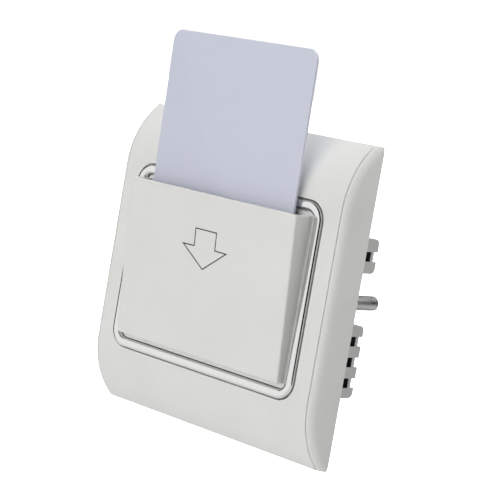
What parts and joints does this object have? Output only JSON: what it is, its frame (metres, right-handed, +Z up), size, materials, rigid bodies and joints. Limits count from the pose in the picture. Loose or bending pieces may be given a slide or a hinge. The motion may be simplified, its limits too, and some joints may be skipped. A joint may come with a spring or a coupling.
{
  "type": "hotel key card switch",
  "caption": "Square arched wall plate with a chrome-ringed card pocket; a key card pushed in is read without contact and a relay behind it switches the room's power.",
  "frame": {"origin": "centre of the plate's back, on the wall's face, midway between the two wall screws", "axes": "+X to the right as seen from the room, +Y into the wall along the wall screws, +Z up along the card"},
  "size_m": [0.086, 0.0393, 0.1076],
  "materials": {
    "white_plastic": "satin moulded",
    "chrome_trim": "polished plating",
    "card_plastic": "smooth laminated",
    "grey_plastic": "moulded",
    "zinc_steel": "zinc plated",
    "board_laminate": "solder mask",
    "copper_wire": "enamelled wire",
    "black_plastic": "moulded",
    "led_lens": "clear lens",
    "terminal_brass": "turned and stamped",
    "blue_plastic": "moulded",
    "yellow_plastic": "moulded case",
    "green_plastic": "moulded"
  },
  "bodies": {
    "switch_body": {"face_panel": "white_plastic", "mounting_frame": "white_plastic", "chrome_ring": "chrome_trim", "card_pocket": "white_plastic", "inner_cover": "grey_plastic", "rear_housing": "grey_plastic", "wall_screws": "zinc_steel", "frame_screws": "zinc_steel", "reader_board": "board_laminate", "antenna_coil": "copper_wire", "reader_chips": "black_plastic", "status_leds": "led_lens", "header_block": "black_plastic", "header_pins": "terminal_brass", "power_board": "board_laminate", "board_spacers": "grey_plastic", "board_screws": "zinc_steel", "relay_base": "black_plastic", "relay_cover": "blue_plastic", "relay_coil": "copper_wire", "relay_yoke": "zinc_steel", "relay_contacts": "terminal_brass", "film_capacitor": "yellow_plastic", "smoothing_capacitor": "black_plastic", "varistor": "blue_plastic", "fuse": "zinc_steel", "terminal_block": "green_plastic", "terminal_tunnels": "terminal_brass"},
    "key_card": {"key_card": "card_plastic"},
    "relay_armature": {"relay_armature": "zinc_steel"},
    "clamp_shoe_1": {"clamp_shoe_1": "terminal_brass"},
    "clamp_screw_1": {"clamp_screw_1": "zinc_steel"},
    "clamp_shoe_2": {"clamp_shoe_2": "terminal_brass"},
    "clamp_screw_2": {"clamp_screw_2": "zinc_steel"},
    "clamp_shoe_3": {"clamp_shoe_3": "terminal_brass"},
    "clamp_screw_3": {"clamp_screw_3": "zinc_steel"},
    "clamp_shoe_4": {"clamp_shoe_4": "terminal_brass"},
    "clamp_screw_4": {"clamp_screw_4": "zinc_steel"}
  },
  "joints": [
    {"name": "card_slide", "type": "slide", "parent": "switch_body", "child": "key_card", "axis": [0, -0.027, 0.9996], "range_m": [0, 0.046]},
    {"name": "armature_hinge", "type": "hinge", "parent": "switch_body", "child": "relay_armature", "pos_m": [-0.007, 0.0156, -0.0146], "axis": [0, 0, -1], "range_deg": [0, 6], "stiffness_Nm_per_rad": 0.01},
    {"name": "clamp_1_press", "type": "slide", "parent": "switch_body", "child": "clamp_shoe_1", "axis": [0, -1, 0], "range_m": [0, 0.0026]},
    {"name": "clamp_1_turn", "type": "hinge", "parent": "clamp_shoe_1", "child": "clamp_screw_1", "pos_m": [-0.0174, 0.0148, -0.0026], "axis": [0, -1, 0], "range_deg": [0, 1560.01]},
    {"name": "clamp_2_press", "type": "slide", "parent": "switch_body", "child": "clamp_shoe_2", "axis": [0, -1, 0], "range_m": [0, 0.0026]},
    {"name": "clamp_2_turn", "type": "hinge", "parent": "clamp_shoe_2", "child": "clamp_screw_2", "pos_m": [-0.0058, 0.0148, -0.0026], "axis": [0, -1, 0], "range_deg": [0, 1560.01]},
    {"name": "clamp_3_press", "type": "slide", "parent": "switch_body", "child": "clamp_shoe_3", "axis": [0, -1, 0], "range_m": [0, 0.0026]},
    {"name": "clamp_3_turn", "type": "hinge", "parent": "clamp_shoe_3", "child": "clamp_screw_3", "pos_m": [0.0058, 0.0148, -0.0026], "axis": [0, -1, 0], "range_deg": [0, 1560.01]},
    {"name": "clamp_4_press", "type": "slide", "parent": "switch_body", "child": "clamp_shoe_4", "axis": [0, -1, 0], "range_m": [0, 0.0026]},
    {"name": "clamp_4_turn", "type": "hinge", "parent": "clamp_shoe_4", "child": "clamp_screw_4", "pos_m": [0.0174, 0.0148, -0.0026], "axis": [0, -1, 0], "range_deg": [0, 1560.01]}
  ],
  "couplings": [
    {"joint": "clamp_1_turn", "follows": "clamp_1_press", "rad_per_m": 10472},
    {"joint": "clamp_2_turn", "follows": "clamp_2_press", "rad_per_m": 10472},
    {"joint": "clamp_3_turn", "follows": "clamp_3_press", "rad_per_m": 10472},
    {"joint": "clamp_4_turn", "follows": "clamp_4_press", "rad_per_m": 10472}
  ]
}
